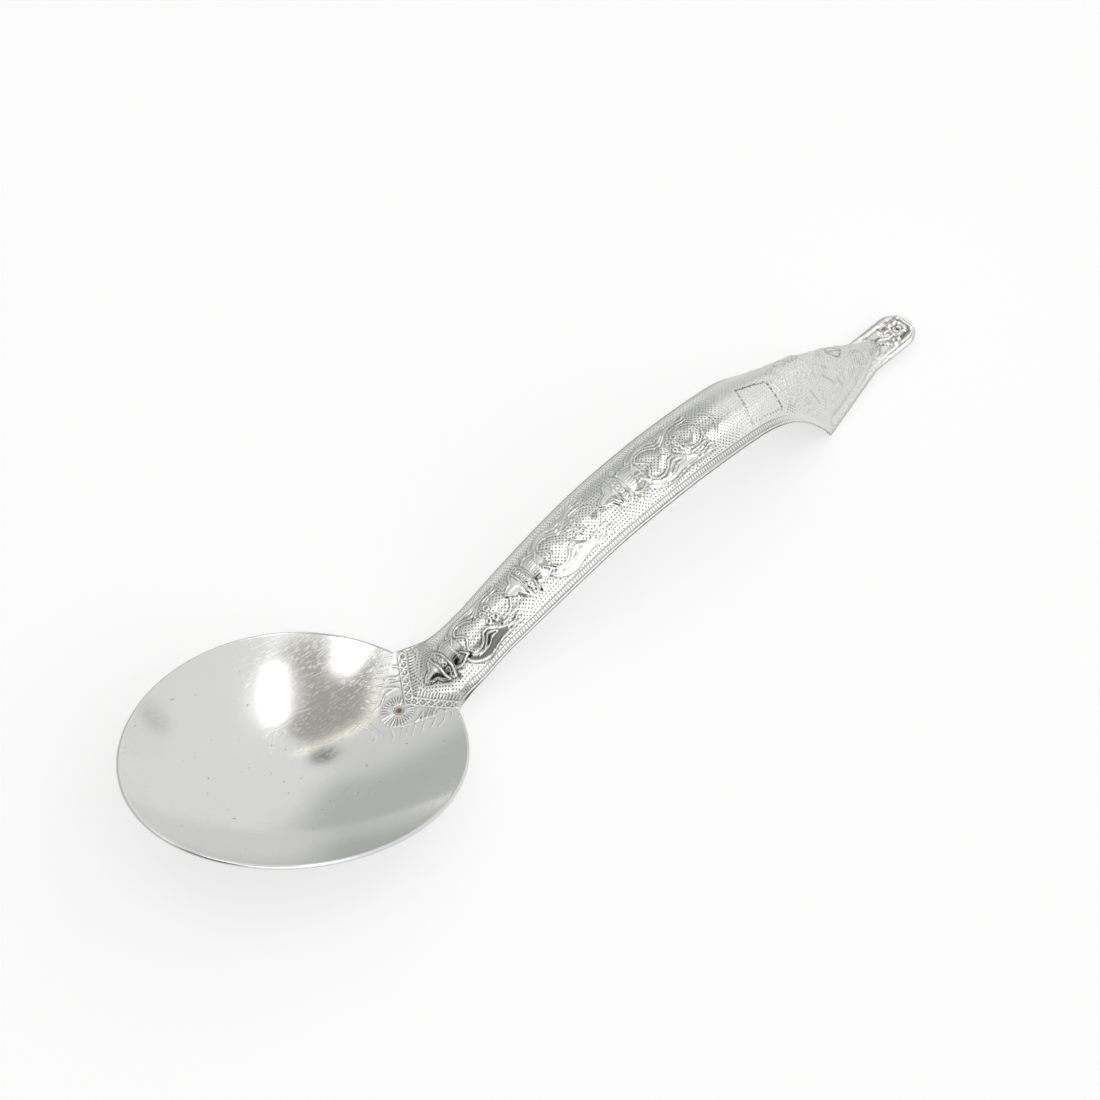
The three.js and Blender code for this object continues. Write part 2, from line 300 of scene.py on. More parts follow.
for name, aim, away, wide, high, level in SOFT_BOXES:
    lamp = area_lamp(name, STUDIO_CENTRE, direction(*aim), away)
    lamp.data.shape = "RECTANGLE"
    lamp.data.size, lamp.data.size_y = wide, high
    lamp.data.energy = level * math.pi * wide * high
    print(name, "gives", round(lamp.data.energy, 2), "watts")

# %% A card for the tab
CARD_AIM, CARD_AWAY, CARD_SIZE, CARD_LEVEL = direction(54, 56.4), 0.16, 0.06, 0.75
CARD_SPREAD = math.radians(60)
CARD_FROM_END, CARD_HEIGHT = 9, 3

tab_place = Vector((end_x - CARD_FROM_END, 0, CARD_HEIGHT)) * MM
card = area_lamp("tab_card", tab_place, CARD_AIM, CARD_AWAY)
card.data.size = CARD_SIZE
card.data.spread = CARD_SPREAD
focus = 1 - CARD_SPREAD / 2 / math.tan(CARD_SPREAD / 2)
card.data.energy = CARD_LEVEL * math.pi * CARD_SIZE ** 2 * focus
print("card gives", round(card.data.energy, 4), "watts")

# %% The table
TABLE_SIZE, TABLE_DROP = 8, 0.00005
PAPER = (0.53, 0.53, 0.534, 1)
FLOOR_LIFT, FLOOR_MIRRORED = 0.57, 0.37

bpy.ops.mesh.primitive_plane_add(size=TABLE_SIZE, location=(0, 0, -TABLE_DROP))
table = bpy.context.object
table.name = "table"
paper = bpy.data.materials.new("pale_paper")
net = Net(paper)
spread = net.add("ShaderNodeBsdfDiffuse", sockets={"Color": PAPER})
by_lens = net.add("ShaderNodeLightPath", out="Is Camera Ray")
by_metal = net.add("ShaderNodeLightPath", out="Is Glossy Ray")
by_glass = net.add("ShaderNodeLightPath", out="Is Transmission Ray")
seen = FLOOR_LIFT * by_lens + FLOOR_MIRRORED * (by_metal + by_glass)
lift = net.add("ShaderNodeEmission", sockets={"Strength": seen})
both = net.add("ShaderNodeAddShader", sockets={0: spread, 1: lift})
net.add("ShaderNodeOutputMaterial", sockets={"Surface": both})
table.data.materials.append(paper)
bpy.context.scene.view_settings.view_transform = "Standard"
print("table lies at Z =", table.location.z, "m")

# %% [markdown]
# ## The bowl's surface
# The inside of the bowl is a shallow dish: its depth falls away with the square of the distance from the
# middle, out to an oval rim that is a little wider at the handle's end. The dish is made flat in its own
# frame and then laid down, tipped towards the handle, until its lowest point touches the table.

# %% Bowl shape
KEEL_STEPS = 2001


def bowl_floor(x, y):
    half_width_here = half_bowl * (1 + BOWL_SWELL * x / half_length)
    return BOWL_DEPTH * ((x / half_length) ** 2 + (y / half_width_here) ** 2 - 1)


def rim_place(angle, share):
    x = share * half_length * np.cos(angle)
    y = share * half_bowl * np.sin(angle) * (1 + BOWL_SWELL * share * np.cos(angle))
    return x, y


def lay_down(x, y, rim_z):
    z = bowl_floor(x, y)
    laid_x = rim_x + x * math.cos(TILT) + z * math.sin(TILT)
    laid_z = rim_z - x * math.sin(TILT) + z * math.cos(TILT)
    return np.stack(np.broadcast_arrays(laid_x, y, laid_z), -1)


along = np.linspace(-half_length, half_length, KEEL_STEPS)
keel = lay_down(along, 0 * along, 0.0)
keel_run, keel_rise = np.gradient(keel[:, 0]), np.gradient(keel[:, 2])
rim_z = -(keel[:, 2] - SHEET * keel_run / np.hypot(keel_run, keel_rise)).min()
print("rim's centre is", round(rim_z, 2), "mm up")

# %% Where the handle's root meets it
SOLVE_ROUNDS = 20


def bowl_height(x, y):
    along = (x - rim_x) / math.cos(TILT)
    for _ in range(SOLVE_ROUNDS):
        along = (x - rim_x - bowl_floor(along, y) * math.sin(TILT)) / math.cos(TILT)
    return rim_z - along * math.sin(TILT) + bowl_floor(along, y) * math.cos(TILT)


neck_turn = 0.0
for _ in range(SOLVE_ROUNDS):
    neck_turn = math.asin(NECK_WIDTH / 2 / (half_bowl * (1 + BOWL_SWELL * math.cos(neck_turn))))
corner = lay_down(*rim_place(neck_turn, 1.0), rim_z)
arm_run, arm_rise = corner[0] - root_x, (NECK_WIDTH - ROOT_TIP) / 2
print("neck corner at", np.round(corner, 2))


def seam_line(y):
    return root_x + np.maximum(0, np.abs(y) - ROOT_TIP / 2) * arm_run / arm_rise


# %% [markdown]
# ## The bowl
# A dish could be spun, but this one is oval and has a V cut out of it for the handle's root. So a flat grid
# is wrapped round like a fan: one side of the grid becomes the centre, the other the edge, which follows
# the rim or the V, whichever comes first. Merging the doubled points closes the fan, Solidify gives the
# sheet its thickness, and a bevel takes the burr off the rim. The V stays sharp, so the seam is a hairline.

# %% Wrap the fan
SEAM_SHOWN = 0.05
FAN_RINGS, FAN_NOTCH, FAN_REST = 56, 120, 240
NOTCH_TURN = math.radians(24)
HALVINGS, RING_BUNCH = 40, 0.25


def fan_reach(angles):
    low, high = np.zeros_like(angles), np.ones_like(angles)
    full = lay_down(*rim_place(angles, 1.0), rim_z)
    whole = full[:, 0] < seam_line(full[:, 1]) - SEAM_SHOWN
    for _ in range(HALVINGS):
        middle = (low + high) / 2
        place = lay_down(*rim_place(angles, middle), rim_z)
        inside = place[:, 0] < seam_line(place[:, 1]) - SEAM_SHOWN
        low, high = np.where(inside, middle, low), np.where(inside, high, middle)
    return np.where(whole, 1.0, low)


def grid_sheet(name, rows, columns):
    bpy.ops.object.select_all(action="DESELECT")
    bpy.ops.mesh.primitive_grid_add(x_subdivisions=columns - 1, y_subdivisions=rows - 1, size=2)
    sheet = bpy.context.object
    sheet.name = sheet.data.name = name
    return sheet


def get_points(mesh):
    flat = np.empty(len(mesh.vertices) * 3)
    mesh.vertices.foreach_get("co", flat)
    return flat.reshape(-1, 3)


def set_points(mesh, points):
    mesh.vertices.foreach_set("co", (points * MM).astype(np.float32).ravel())
    mesh.update()


notch_angles = np.linspace(-NOTCH_TURN, NOTCH_TURN, FAN_NOTCH, endpoint=False)
rest_angles = np.linspace(NOTCH_TURN, 2 * math.pi - NOTCH_TURN, FAN_REST + 1)
angles = np.concatenate([notch_angles, rest_angles])
bowl = grid_sheet("bowl_dish", FAN_RINGS + 1, len(angles))
flat = get_points(bowl.data)
column = np.rint((flat[:, 0] + 1) / 2 * (len(angles) - 1)).astype(int)
share = (flat[:, 1] + 1) / 2
share = share * (1 + RING_BUNCH - RING_BUNCH * share)
reach = fan_reach(angles)[column]
set_points(bowl.data, lay_down(*rim_place(angles[column], share * reach), rim_z))
print("fan has", len(bowl.data.vertices), "points")

# %% Close the fan, give it thickness and round the rim
RIM_ROUND, RIM_STEPS = 0.42, 3
SHARP = math.radians(50)
SEAM_CLEAR, DOUBLED = 0.3, 1e-6


def apply_modifier(piece, kind, name, **settings):
    modifier = piece.modifiers.new(name, kind)
    for key, value in settings.items():
        setattr(modifier, key, value)
    bpy.context.view_layer.objects.active = piece
    bpy.ops.object.modifier_apply(modifier=modifier.name)


def is_rim_edge(edge):
    if len(edge.link_faces) != 2 or edge.calc_face_angle() < SHARP:
        return False
    return all(v.co.x / MM < seam_line(v.co.y / MM) - SEAM_CLEAR for v in edge.verts)


bpy.ops.object.mode_set(mode="EDIT")
bpy.ops.mesh.select_all(action="SELECT")
bpy.ops.mesh.remove_doubles(threshold=DOUBLED)
bpy.ops.mesh.normals_make_consistent(inside=False)
bpy.ops.object.mode_set(mode="OBJECT")
if sum(face.normal.z * face.area for face in bowl.data.polygons) < 0:
    bowl.data.flip_normals()
apply_modifier(bowl, "SOLIDIFY", "sheet", thickness=SHEET * MM, offset=-1, use_even_offset=True)

bpy.ops.object.mode_set(mode="EDIT")
bpy.ops.mesh.select_mode(type="EDGE")
bpy.ops.mesh.select_all(action="DESELECT")
edit = bmesh.from_edit_mesh(bowl.data)
for edge in edit.edges:
    edge.select = is_rim_edge(edge)
bmesh.update_edit_mesh(bowl.data)
bpy.ops.mesh.bevel(offset=RIM_ROUND * MM, segments=RIM_STEPS)
bpy.ops.object.mode_set(mode="OBJECT")
bpy.ops.object.shade_smooth_by_angle(angle=SHARP)
print("bowl has", len(bowl.data.polygons), "faces")

# %% [markdown]
# ## Strokes round the tongue
# The curling strokes on the handle's tongue run on into the bowl for a few millimetres. They are finer than
# the bowl's mesh, so each point only learns how far it lies from the seam and how far along it, and the
# metal draws the strokes from these two measures. Points on the underside are told that they are far away.

# %% Measure from the seam
FAR_AWAY, FACES_UP = 99.0, 0.3


def give_attribute(piece, name, values):
    attribute = piece.data.attributes.new(name, "FLOAT", "POINT")
    attribute.data.foreach_set("value", values.astype(np.float32))


facing = np.empty(len(bowl.data.vertices) * 3)
bowl.data.vertices.foreach_get("normal", facing)
points = get_points(bowl.data) / MM
seam_way = np.array([arm_run, arm_rise]) / math.hypot(arm_run, arm_rise)
offset = np.stack([points[:, 0] - root_x, np.abs(points[:, 1]) - ROOT_TIP / 2], 1)
seam_run = offset @ seam_way
seam_away = np.linalg.norm(offset - np.maximum(seam_run, 0)[:, None] * seam_way, axis=1)
give_attribute(bowl, "seam_run", seam_run)
give_attribute(bowl, "seam_away", np.where(facing[2::3] > FACES_UP, seam_away, FAR_AWAY))
print("nearest point lies", round(float(seam_away.min()), 2), "mm from the seam's middle")

# %% [markdown]
# ## The handle's surface
# The handle is a strip with three lines that matter: the crest along its middle, the edge on either side,
# and the crease where the hood at its end meets the flat brim. A section across the strip is an arch from
# edge to edge. At the root the arch fades into the bowl's own wall, behind the V of the collar.

# %% Crest
CREST_CLIMB = (
    (0, 0.13), (0.14, 0.4), (0.29, 0.67), (0.46, 0.895), (0.6, 0.985), (0.7, 1), (0.8, 0.975), (0.9, 0.906),
    (1, 0.818),
)
CLIMB_STEPS, NOSE_FALL = 15, 1.05


def curve_through(points, steps):
    points = np.asarray(points, float)
    padded = np.vstack([points[:1], points, points[-1:]])
    t = np.linspace(0, 1, steps, endpoint=False)[:, None]
    made = []
    for p0, p1, p2, p3 in zip(padded, padded[1:], padded[2:], padded[3:]):
        v1, v2 = (p2 - p0) / 2, (p3 - p1) / 2
        bend = (2 * p1 - 2 * p2 + v1 + v2) * t ** 3 + (3 * p2 - 3 * p1 - 2 * v1 - v2) * t ** 2
        made.append(bend + v1 * t + p1)
    return np.vstack(made + [points[-1:]])


climb = curve_through(CREST_CLIMB, CLIMB_STEPS)
barb_crest = CREST_HEIGHT * climb[-1, 1]


def brim_height(x):
    return SHEET + TAB_LIFT / BARB_FROM_END * np.maximum(0, x - barb_x)


def crest_height(x):
    rise = CREST_HEIGHT * np.interp((x - collar_x) / (barb_x - collar_x), climb[:, 0], climb[:, 1])
    fall = np.clip((x - barb_x) / (nose_x - barb_x), 0, 1)
    return np.where(x <= barb_x, rise, brim_height(x) + (barb_crest - SHEET) * (1 - fall ** NOSE_FALL))


print("crest is", round(float(crest_height(barb_x)), 2), "mm up at the barbs")

# %% Edge and crease
NECK_FLARE, WAIST_OPENING, BARB_FLARE, HOOD_TAPER = 2.4, 2.5, 5, 0.85


def half_width(x):
    root = ROOT_TIP / 2 + arm_rise * (x - root_x) / arm_run
    left = np.clip((waist_x - x) / (waist_x - corner[0]), 0, 1)
    neck = (WAIST_WIDTH + (NECK_WIDTH - WAIST_WIDTH) * left ** NECK_FLARE) / 2
    opened = np.clip((x - waist_x) / (notch_x - waist_x), 0, 1)
    flare = np.clip((x - notch_x) / NOTCH_LENGTH, 0, 1)
    strip = WAIST_WIDTH + (HANDLE_WIDTH - WAIST_WIDTH) * (1 - (1 - opened) ** WAIST_OPENING)
    strip = (strip + (BARB_SPAN - HANDLE_WIDTH) * flare ** BARB_FLARE) / 2
    shoulder = mix(BARB_SPAN, TAB_WIDTH, np.clip((x - barb_x) / (taper_x - barb_x), 0, 1)) / 2
    tab_end = np.sqrt(np.maximum(0, (TAB_WIDTH / 2) ** 2 - np.maximum(0, x - round_x) ** 2))
    reached = [x <= corner[0], x <= waist_x, x <= barb_x, x <= taper_x]
    return np.select(reached, [root, neck, strip, shoulder], tab_end)


def crease_width(x):
    inside = half_width(x) * (1 - BRIM_WIDTH / (BARB_SPAN / 2))
    left = np.clip((nose_x - x) / (nose_x - barb_x), 0, 1)
    hood = np.clip(BARB_SPAN / 2 * left ** HOOD_TAPER, np.minimum(BRIM_WIDTH / 2, inside), inside)
    return np.where(x <= barb_x, inside, hood)


# %% Arch, and the blend into the bowl
BARB_TURN = 2.4
BARB_FULLNESS, NOSE_FULLNESS = 2.0, 3.0


def arch_height(x, y):
    crest = crest_height(x)
    middle = smooth(2 * (x - waist_x) / (notch_x - waist_x))
    turn = np.clip((x - notch_x) / NOTCH_LENGTH, 0, 1) ** BARB_TURN
    drop = mix(mix(WAIST_ARCH, ARCH_HEIGHT, middle), barb_crest - BARB_LIFT, turn)
    strip = crest - drop * (np.abs(y) / np.maximum(half_width(x), 1e-6)) ** 2
    fullness = mix(BARB_FULLNESS, NOSE_FULLNESS, smooth((x - barb_x) / NOTCH_LENGTH))
    hood = crest - (crest - brim_height(x)) * np.minimum(1, np.abs(y) / crease_width(x)) ** fullness
    return np.where(x <= barb_x, strip, hood)


def handle_height(x, y):
    start = collar_x + (corner[0] - collar_x) * np.abs(y) / corner[1]
    grown = smooth((x - start) / BLEND_LENGTH)
    return mix(bowl_height(np.minimum(x, waist_x + BLEND_LENGTH), y), arch_height(x, y), grown)


# %% [markdown]
# ## The blank
# Like the real one, the handle starts as a flat blank: a grid with more lines where the ornament is finest.
# Each point of the grid has a place along the strip and a place across it, and pressing means moving it to
# the surface above. The places across bunch up near the edge, so the lip and the rounded cut are crisp.

# %% Places on the blank
DENSE_LENGTH = 91
dense_x = neck_x + DENSE_LENGTH
ROW_STRETCHES = (
    (root_x, collar_x, 50), (collar_x, dense_x, 500), (dense_x, barb_x, 142), (barb_x, round_x, 106),
)
ROUND_ROWS, ROUND_TURN, COLUMNS = 21, 86, 95
BRIM_SHARE = 0.86

rows = np.concatenate([np.linspace(a, b, n, endpoint=False) for a, b, n in ROW_STRETCHES])
round_turn = np.radians(np.linspace(0, ROUND_TURN, ROUND_ROWS))
rows = np.concatenate([rows, round_x + TAB_WIDTH / 2 * np.sin(round_turn)])
# an even row moves to the neck's corner, where the outline has its kink
rows[2 * np.abs(rows[::2] - corner[0]).argmin()] = corner[0]

across = np.linspace(-1, 1, COLUMNS)
part = np.abs(across)[None, :]
X = np.repeat(rows[:, None], COLUMNS, 1)
crease, outer = crease_width(X), half_width(X)
brim = mix(crease, outer, (part - BRIM_SHARE) / (1 - BRIM_SHARE))
Y = np.where(part <= BRIM_SHARE, crease * part / BRIM_SHARE, brim) * np.sign(across)[None, :]
base = np.stack([X, Y, handle_height(X, Y)], -1)
print("blank has", X.shape, "points")

# %% Measures on the blank
up = np.cross(np.gradient(base, axis=0), np.gradient(base, axis=1))
up = up / np.maximum(np.linalg.norm(up, axis=-1, keepdims=True), 1e-9)
steps = np.linalg.norm(np.diff(base, axis=1), axis=-1)
girth = np.concatenate([np.zeros((len(rows), 1)), np.cumsum(steps, 1)], 1)
inset = np.minimum(girth, girth[:, -1:] - girth)
inset = np.minimum(inset, end_x - X)
across_mm = girth - girth[:, COLUMNS // 2][:, None]
print("widest girth", round(float(girth.max()), 1), "mm")

# %% [markdown]
# ## Drawing in relief
# The ornament is drawn on the plan of the strip with a few marks: a ridge along a line, a pad inside an
# outline, a dot, a ring and a hatched panel. The die was cut alike for both halves, a little off the
# strip's middle, so a mark is drawn on one half and appears on the other. `height` is the relief in
# millimetres, `lines` the ridges that are added to it later, `ground` and `hatch` say where the die left
# dots or hatching, and the darkening field holds painted shade on the figures and dark marks elsewhere.

# %% Measuring from a line
DIE_SHIFT = 0.5

side = np.abs(Y + DIE_SHIFT)
near_side, far_side = -Y, Y
height, lines, hatch, dark_marks_and_shade = (np.zeros_like(X) for _ in range(4))
ground = np.ones_like(X)


def window_round(path, margin, cross):
    low, high = path.min(0) - margin, path.max(0) + margin
    return (X > low[0]) & (X < high[0]) & (cross > low[1]) & (cross < high[1])


def line_distance(path, px, py):
    best = np.full(px.shape, 1e9)
    for (ax, ay), (bx, by) in zip(path[:-1], path[1:]):
        dx, dy = bx - ax, by - ay
        t = np.clip(((px - ax) * dx + (py - ay) * dy) / max(dx * dx + dy * dy, 1e-9), 0, 1)
        best = np.minimum(best, np.hypot(px - ax - t * dx, py - ay - t * dy))
    return best


def inside_depth(outline, px, py):
    inside = np.zeros(px.shape, bool)
    for (ax, ay), (bx, by) in zip(outline, np.roll(outline, -1, 0)):
        crosses = (ay > py) != (by > py)
        slant = (bx - ax) * (py - ay) / (by - ay if by != ay else 1e-9) + ax
        inside ^= crosses & (px < slant)
    away = line_distance(np.vstack([outline, outline[:1]]), px, py)
    return np.where(inside, away, -away)


# %% Marks
MARGIN, CLEAR, PAD_CROWN = 0.1, 0.2, 2.2
RING_STEPS, FLOW_STEPS = 25, 6


def from_rim(points):
    return np.array([(rim_x + x, y) for x, y in points])


def flowing(points):
    return curve_through(from_rim(points), FLOW_STEPS)


def raise_to(field, window, values):
    field[window] = np.maximum(field[window], values)


def lower_to(field, window, values):
    field[window] = np.minimum(field[window], values)


def ridge(path, width, rise, clear=CLEAR, cross=side, dark=0.0):
    path = np.asarray(path, float)
    window = window_round(path, width + clear + MARGIN, cross)
    away = line_distance(path, X[window], cross[window])
    raise_to(lines, window, rise * (1 - smooth(away / width)))
    lower_to(ground, window, smooth((away - width * 0.7) / clear))
    raise_to(dark_marks_and_shade, window, dark * (1 - smooth(away / width)))


def pad(outline, rise, slope=0.0, dark=0.0, shoulder=0.3):
    window = window_round(outline, shoulder + MARGIN, side)
    depth = inside_depth(outline, X[window], side[window])
    body = rise * smooth((depth + shoulder / 2) / shoulder) + slope * np.clip(depth, 0, PAD_CROWN)
    raise_to(height, window, body)
    # painted shade: a figure is darkened on its near half only
    raise_to(dark_marks_and_shade, window, dark * smooth(depth / 0.4) * smooth(near_side[window] / 2))
    lower_to(ground, window, 1 - smooth((depth + 0.3) / 0.3))


def hatched(outline, cross=side):
    window = window_round(outline, MARGIN, cross)
    filled = smooth(inside_depth(outline, X[window], cross[window]) / 0.3)
    raise_to(hatch, window, filled)
    lower_to(ground, window, 1 - filled)


def dot(x, y, radius, rise, dark=0.0, cross=side):
    window = window_round(np.array([(x, y)]), radius + MARGIN, cross)
    away = np.hypot(X[window] - x, cross[window] - y) / radius
    height[window] += rise * np.sqrt(np.clip(1 - away ** 2, 0, 1))
    lower_to(ground, window, smooth((away - 0.8) / 0.4))
    raise_to(dark_marks_and_shade, window, dark * (1 - smooth((away - 0.5) / 0.5)))


def ring(x, y, radius, width, rise, cross=side):
    turn = np.linspace(0, 2 * math.pi, RING_STEPS)
    circle = np.stack([x + radius * np.cos(turn), y + radius * np.sin(turn)], 1)
    ridge(circle, width, rise, CLEAR, cross)


# %% [markdown]
# ## The figures
# Three raised figures lie head down along the crest, a common motif on such spoons: a pointed headdress, a
# belt of two bands with beads, a body, and limbs that swing out and back round a hatched panel, with
# ribbons behind. One drawing in shares of the figure's length serves all three, because the die-cutter did
# the same. They differ in how far they bulge and in how much painted shade darkens their near halves.

# %% Figure's outlines, as share of length and distance from the middle
HEADDRESS = ((0, 0), (0.046, 1.0), (0.097, 1.4), (0.115, 2.2), (0.137, 2.95), (0.166, 3.4))
BELT_FRONT = ((0.17, -0.6), (0.163, 1.06), (0.161, 2.34), (0.172, 3.55))
BELT_BACK = ((0.255, -0.6), (0.251, 1.2), (0.249, 2.16), (0.225, 3.9))
BODY = ((0.264, 2.8), (0.296, 3.27), (0.327, 3.48), (0.368, 3.15), (0.414, 2.64))
SASH = ((0.376, 1.44), (0.401, 2.25), (0.418, 2.8))
LAPPET = ((0.262, 3.9), (0.25, 4.5), (0.285, 5.2), (0.3, 4.4))
PANEL_FRONT = ((0.51, -0.6), (0.484, 0.6), (0.455, 1.6), (0.437, 2.3))
PANEL_SIDE = (
    (0.437, 2.3), (0.472, 3.5), (0.529, 3.76), (0.581, 3.27), (0.608, 2.53), (0.628, 1.97), (0.679, 1.89),
)
LIMB_INNER = (
    (0.439, 3.5), (0.483, 4.24), (0.54, 4.43), (0.591, 3.89), (0.629, 3.13), (0.657, 2.74), (0.702, 3.15),
    (0.742, 3.75),
)
LIMB_FOLD = ((0.486, 4.57), (0.548, 4.63), (0.614, 4.5), (0.658, 3.9), (0.706, 3.77), (0.739, 3.8))
LIMB_OUTER = (
    (0.382, 3.65), (0.426, 4.77), (0.489, 5.6), (0.562, 6.0), (0.633, 5.8), (0.691, 5.54), (0.762, 5.38),
    (0.835, 5.47),
)
RIBBONS = (
    ((0.813, 3.58), (0.868, 3.66), (0.927, 3.48), (0.98, 3.6)),
    ((0.834, 4.7), (0.901, 4.8), (0.957, 4.4), (1.0, 4.7)),
    ((0.84, 5.5), (0.9, 5.4), (0.98, 5.6)),
)
TAIL = ((0.84, 2.9), (0.9, 2.95), (0.95, 2.4), (0.98, 1.5), (0.997, 0.9))
RINGS = (
    (0.21, 0.6, 0.4), (0.206, 1.95, 0.42), (0.21, 3.3, 0.45),
    (0.727, 1.2, 0.5), (0.765, 0.5, 0.4), (0.794, 1.6, 0.6),
)
LIMB_END = ((0.72, 2.6), (0.77, 3.6), (0.84, 4.4))
CHEST_LINES = (0.4, 1.0, 1.6)
LINE_WIDTH, LINE_RISE = 0.27, 0.26
PAST_MIDDLE, SWEEP_STEPS = -2, 8


# %% Figures
def draw_figure(start, length, spread, bulge, near_half_shade, puff):
    def place(points):
        return np.array([(rim_x + start + p * length, q * spread) for p, q in points])

    def sweep(points):
        return curve_through(place(points), SWEEP_STEPS)

    def closed(points, front, back):
        front, back = place([(front, PAST_MIDDLE)]), place([(back, PAST_MIDDLE)])
        return np.vstack([front, sweep(points), back])

    pad(closed(HEADDRESS, 0, 0.166), 0.1, bulge, 0.85 * near_half_shade)
    pad(np.vstack([sweep(BELT_FRONT), sweep(BELT_BACK)[::-1]]), 0.08, 0.0, near_half_shade)
    pad(closed(BODY, 0.264, 0.414), 0.1, bulge, 0.8 * near_half_shade)
    pad(place(LAPPET), 0.16)
    panel_end = place([(0.69, PAST_MIDDLE), (0.51, PAST_MIDDLE)])
    panel = np.vstack([sweep(PANEL_FRONT), sweep(PANEL_SIDE), panel_end])
    pad(panel, 0.0, puff)
    hatched(panel)
    limb = np.vstack([sweep(PANEL_SIDE), place(LIMB_END), sweep(LIMB_OUTER)[::-1]])
    pad(limb, 0.1, 0.08, 0.9 * near_half_shade)
    tail = closed(TAIL, 0.84, 1.0)
    pad(tail, 0.0, puff)
    hatched(tail)
    for line in (HEADDRESS, BELT_FRONT, BELT_BACK, BODY, SASH, PANEL_FRONT, PANEL_SIDE, LIMB_OUTER):
        ridge(sweep(line), LINE_WIDTH, LINE_RISE)
    for line in (LIMB_INNER, LIMB_FOLD, TAIL) + RIBBONS:
        ridge(sweep(line), 0.28, 0.22)
    for q in CHEST_LINES:
        ridge(place([(0.285, q), (0.355, q)]), 0.2, 0.12)
    for p, q, r in RINGS:
        ring(rim_x + start + p * length, q * spread, r, 0.26, 0.2)


# each figure: start and length in millimetres, spread, bulge of the body, painted shade on the near half,
# puff of the panels
FIGURES = (
    (37.4, 25.4, 1.0, 0.18, 1.0, 0.0),
    (62.1, 28.5, 1.06, 0.12, 0.0, 0.08),
    (91.2, 32.4, 1.08, 0.1, 0.12, 0.2),
)
END_ARCS = (((123, -1), (123.3, 1.5), (122.6, 3.3)), ((128, -1), (127.6, 1.6), (126.2, 3.4)))

for figure in FIGURES:
    draw_figure(*figure)
for arc in END_ARCS:
    ridge(flowing(arc), LINE_WIDTH, 0.2)
print("relief reaches", round(float(height.max()), 2), "mm")

# %% [markdown]
# ## The collar and the tongue
# Where the handle meets the bowl a V of two bands crosses it, with a row of round cells between them and
# ticks above. Below the V the tongue has a fringe of curling lines, and a little sunburst round a stained
# pit. Places on the collar are measured along an arm of the V and square to it, so both arms come alike.
# On the far side a few slanting strokes follow it.

# %% Collar
LOW_BAND, HIGH_BAND, BAND_WIDTH, BAND_RISE = 0.35, 2.2, 0.28, 0.2
CELLS, CELL_PITCH, CELL_LINE, CELL_RADIUS = 6, 2.0, 1.28, 0.78
COLLAR_TICKS, TICK_STEP = 17, 0.75
BARE_COLLAR = 2.6

arm = np.array([corner[0] - collar_x, corner[1]])
arm_length = float(np.hypot(*arm))
arm = arm / arm_length
to_handle = np.array([arm[1], -arm[0]])


def on_arm(points):
    return np.array([np.array([collar_x, 0]) + a * arm + o * to_handle for a, o in points])


start_x = collar_x + (corner[0] - collar_x) * side / corner[1]
ground[X < start_x + BARE_COLLAR] = 0
ridge(on_arm([(-0.3, LOW_BAND), (arm_length, LOW_BAND)]), BAND_WIDTH, BAND_RISE)
ridge(on_arm([(0.6, HIGH_BAND), (arm_length + 0.6, HIGH_BAND)]), BAND_WIDTH, BAND_RISE)
for k in range(CELLS):
    cell = on_arm([(CELL_PITCH + CELL_PITCH * k, CELL_LINE)])[0]
    ring(cell[0], cell[1], CELL_RADIUS, 0.3, 0.2)
for k in range(COLLAR_TICKS):
    along = TICK_STEP * k
    ridge(on_arm([(1.6 + along, 2.65), (1.75 + along, 3.8)]), 0.22, 0.16, 0.15)
print("collar's arm is", round(arm_length, 1), "mm long")

# %% Fringe and sunburst
SUN_X, SUN_RAYS = 29.2, 13
SUN_FROM, SUN_TURN, SUN_INNER, SUN_OUTER = 35, 145, 1.4, 3.4
PIT_RADIUS, PIT_DEPTH = 0.8, 0.25
SLANT_STROKES, SLANT_START = 8, 38.4
FRINGE = (
    ((32.8, 4.3), (30.9, 6.1), (29.1, 6.4), (26.6, 5.1), (24.8, 5.1)),
    ((34.1, 6.3), (32.8, 7.6), (31.2, 8.1)),
    ((35.5, 6.2), (34.1, 6.6), (32.3, 8.7), (33, 9.3)),
    ((34, 5.1), (32.2, 6.2)),
    ((32.3, 4.6), (29.7, 5.1), (27.1, 3.9), (25.3, 3.9)),
    ((36.3, 8.1), (35.4, 9.1)),
)

for line in FRINGE:
    ridge(flowing(line), 0.28, 0.16)
for k in range(SUN_RAYS):
    angle = math.radians(SUN_FROM + SUN_TURN * k / (SUN_RAYS - 1))
    reach = SUN_OUTER + 1.2 * max(0.0, -math.cos(angle)) ** 2
    ray_x, ray_y = math.cos(angle), math.sin(angle)
    ridge([(rim_x + SUN_X + r * ray_x, r * ray_y) for r in (SUN_INNER, reach)], 0.24, 0.18)
for k in range(SLANT_STROKES):
    x = rim_x + SLANT_START + 0.5 * k
    ridge([(x, 2.2 + 0.45 * k), (x + 1.6, 1.4 + 0.45 * k)], 0.2, 0.14, 0.15, far_side)
pit = np.hypot(X - rim_x - SUN_X, side)
height -= PIT_DEPTH * (1 - smooth(pit / PIT_RADIUS))
print("fringe has", len(FRINGE), "lines a side, sunburst", SUN_RAYS, "rays a side")

# %% [markdown]
# ## The hood and the tab
# Past the figures the ornament is nearly worn away: a closed frame of dark dots, a patch of hatching, short
# curls, a few scratches, a small leaf on top and strokes towards the nose. A seeded draw scatters the
# curls, so they come out the same each time. A bright line runs along the crease. The tab has a double
# border, a ring with a smaller one in it, and a few curling lines. The frame was punched on one side only.

# %% Frame of dots
FRAME = ((135.3, 6.9), (138.4, -2.1), (146.2, 0.3), (145.4, 7.3), (135.3, 6.9))
